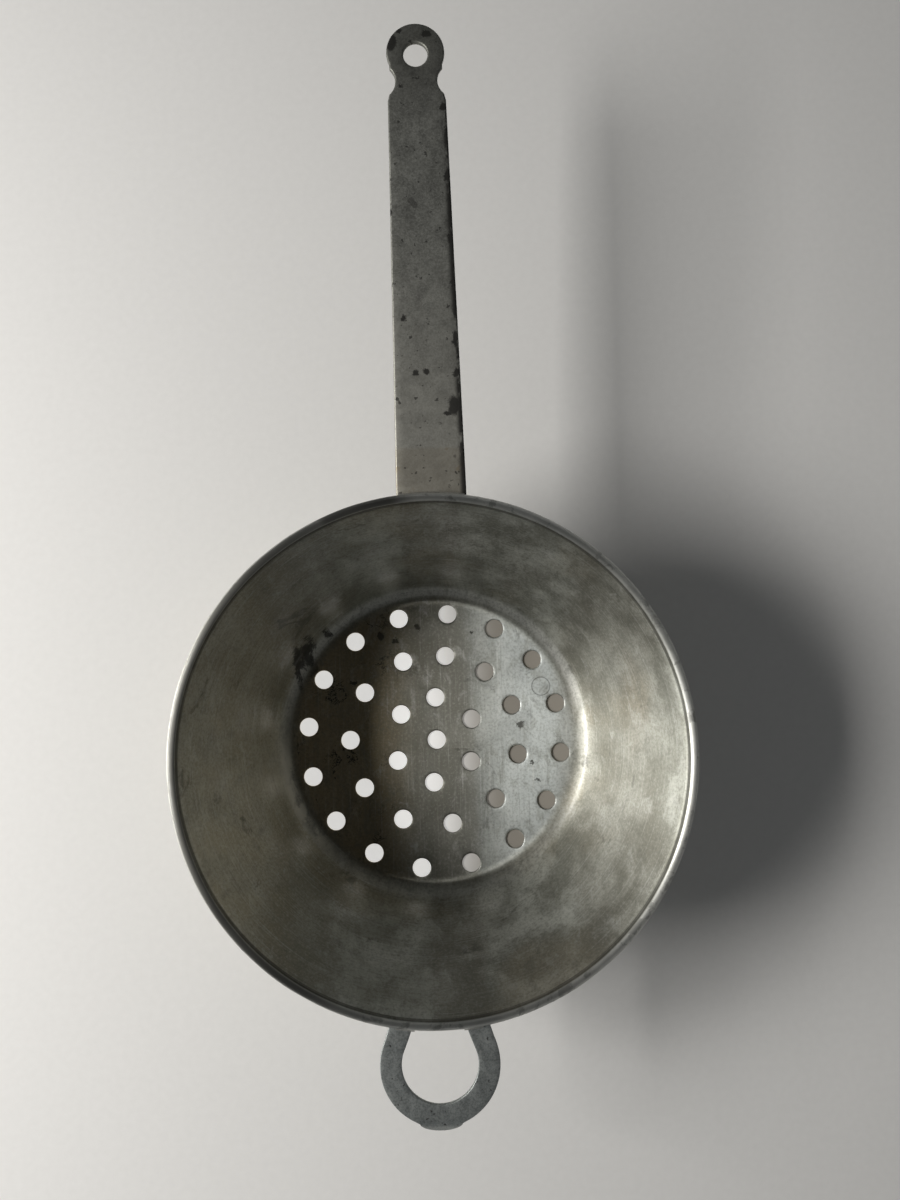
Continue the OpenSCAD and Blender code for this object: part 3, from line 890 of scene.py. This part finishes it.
CAMERA_AT = Vector((2.9, 36.5, 395.4)) * MM
CAMERA_AIM = Vector((8.3, 63.1, 0)) * MM
CAMERA_ROLL = radians(1.28)
FLOOR_HALF = 15.0
ROOM_LOW = 0.2
ROOM_HIGH = 0.03
WINDOW_AT = Vector((-0.85, 0.0, 0.6))
WINDOW_AIM = Vector((0, 0, 0.03))
WINDOW_SIZE = (0.6, 0.34)
WINDOW_WATTS = 12.5


def add_camera():
    """Above the pan's axis, looking down it and a little towards the handle."""
    data = bpy.data.cameras.new("camera")
    camera = bpy.data.objects.new("camera", data)
    bpy.context.scene.collection.objects.link(camera)
    look = (CAMERA_AIM - CAMERA_AT).normalized()
    right = look.cross(Vector((sin(CAMERA_ROLL), cos(CAMERA_ROLL), 0))).normalized()
    up = right.cross(look)
    turned = Matrix((right, up, -look)).transposed().to_4x4()
    camera.matrix_world = Matrix.Translation(CAMERA_AT) @ turned
    data.sensor_fit = "VERTICAL"
    data.sensor_height = 36
    data.lens = 26
    data.clip_start = 0.01
    bpy.context.scene.camera = camera


def add_floor():
    """A plain floor that reaches past the horizon of any view."""
    mesh = bpy.data.meshes.new("floor")
    s = FLOOR_HALF
    mesh.from_pydata([(-s, -s, 0), (s, -s, 0), (s, s, 0), (-s, s, 0)], [], [(0, 1, 2, 3)])
    floor = bpy.data.objects.new("floor", mesh)
    bpy.context.scene.collection.objects.link(floor)
    dress(floor, floor_material())


def add_window():
    """The one light, a soft window low on the left."""
    data = bpy.data.lights.new("window", "AREA")
    data.shape = "RECTANGLE"
    data.size, data.size_y = WINDOW_SIZE
    data.energy = WINDOW_WATTS
    data.color = (1.0, 0.985, 0.96)
    light = bpy.data.objects.new("window", data)
    light.location = WINDOW_AT
    light.rotation_euler = (WINDOW_AIM - WINDOW_AT).to_track_quat("-Z", "Y").to_euler()
    bpy.context.scene.collection.objects.link(light)


def add_world():
    """A dim room: darker straight above than near the horizon."""
    world = bpy.data.worlds.new("studio")
    world.use_nodes = True
    bpy.context.scene.world = world
    tree = world.node_tree
    direction = tree.nodes.new("ShaderNodeTexCoord").outputs["Generated"]
    height = tree.nodes.new("ShaderNodeSeparateXYZ")
    tree.links.new(direction, height.inputs[0])
    fade = tree.nodes.new("ShaderNodeMapRange")
    fade.interpolation_type = "SMOOTHSTEP"
    limits = {"From Min": 0.35, "From Max": 0.88, "To Min": ROOM_LOW, "To Max": ROOM_HIGH}
    for name, limit in limits.items():
        fade.inputs[name].default_value = limit
    tree.links.new(height.outputs["Z"], fade.inputs["Value"])
    background = tree.nodes["Background"]
    background.inputs["Color"].default_value = (0.95, 0.98, 1.0, 1)
    tree.links.new(fade.outputs["Result"], background.inputs["Strength"])


def main():
    strap = dull_tin("dull_strap", rgb(0.2, 0.2, 0.18), rgb(0.31, 0.31, 0.28), 11.0, strap_marks)
    loop = dull_tin("dull_loop", rgb(0.24, 0.258, 0.252), rgb(0.37, 0.39, 0.38), 21.0)
    solder = dull_tin("solder", rgb(0.4, 0.39, 0.36), rgb(0.6, 0.59, 0.55), 31.0)
    wire = dull_tin("wire", rgb(0.2, 0.2, 0.19), rgb(0.35, 0.34, 0.33), 41.0)
    dress(build_pan(), tinned_sheet())
    dress(build_handle(), strap)
    dress(build_loop(), loop)
    dress(frame["nodes"]["rim_wire"], wire)
    for name in ("handle_solder", "loop_solder_left", "loop_solder_right"):
        dress(frame["nodes"][name], solder)
    add_camera()
    add_floor()
    add_world()
    add_window()
    bpy.context.scene.view_settings.view_transform = "Standard"


main()
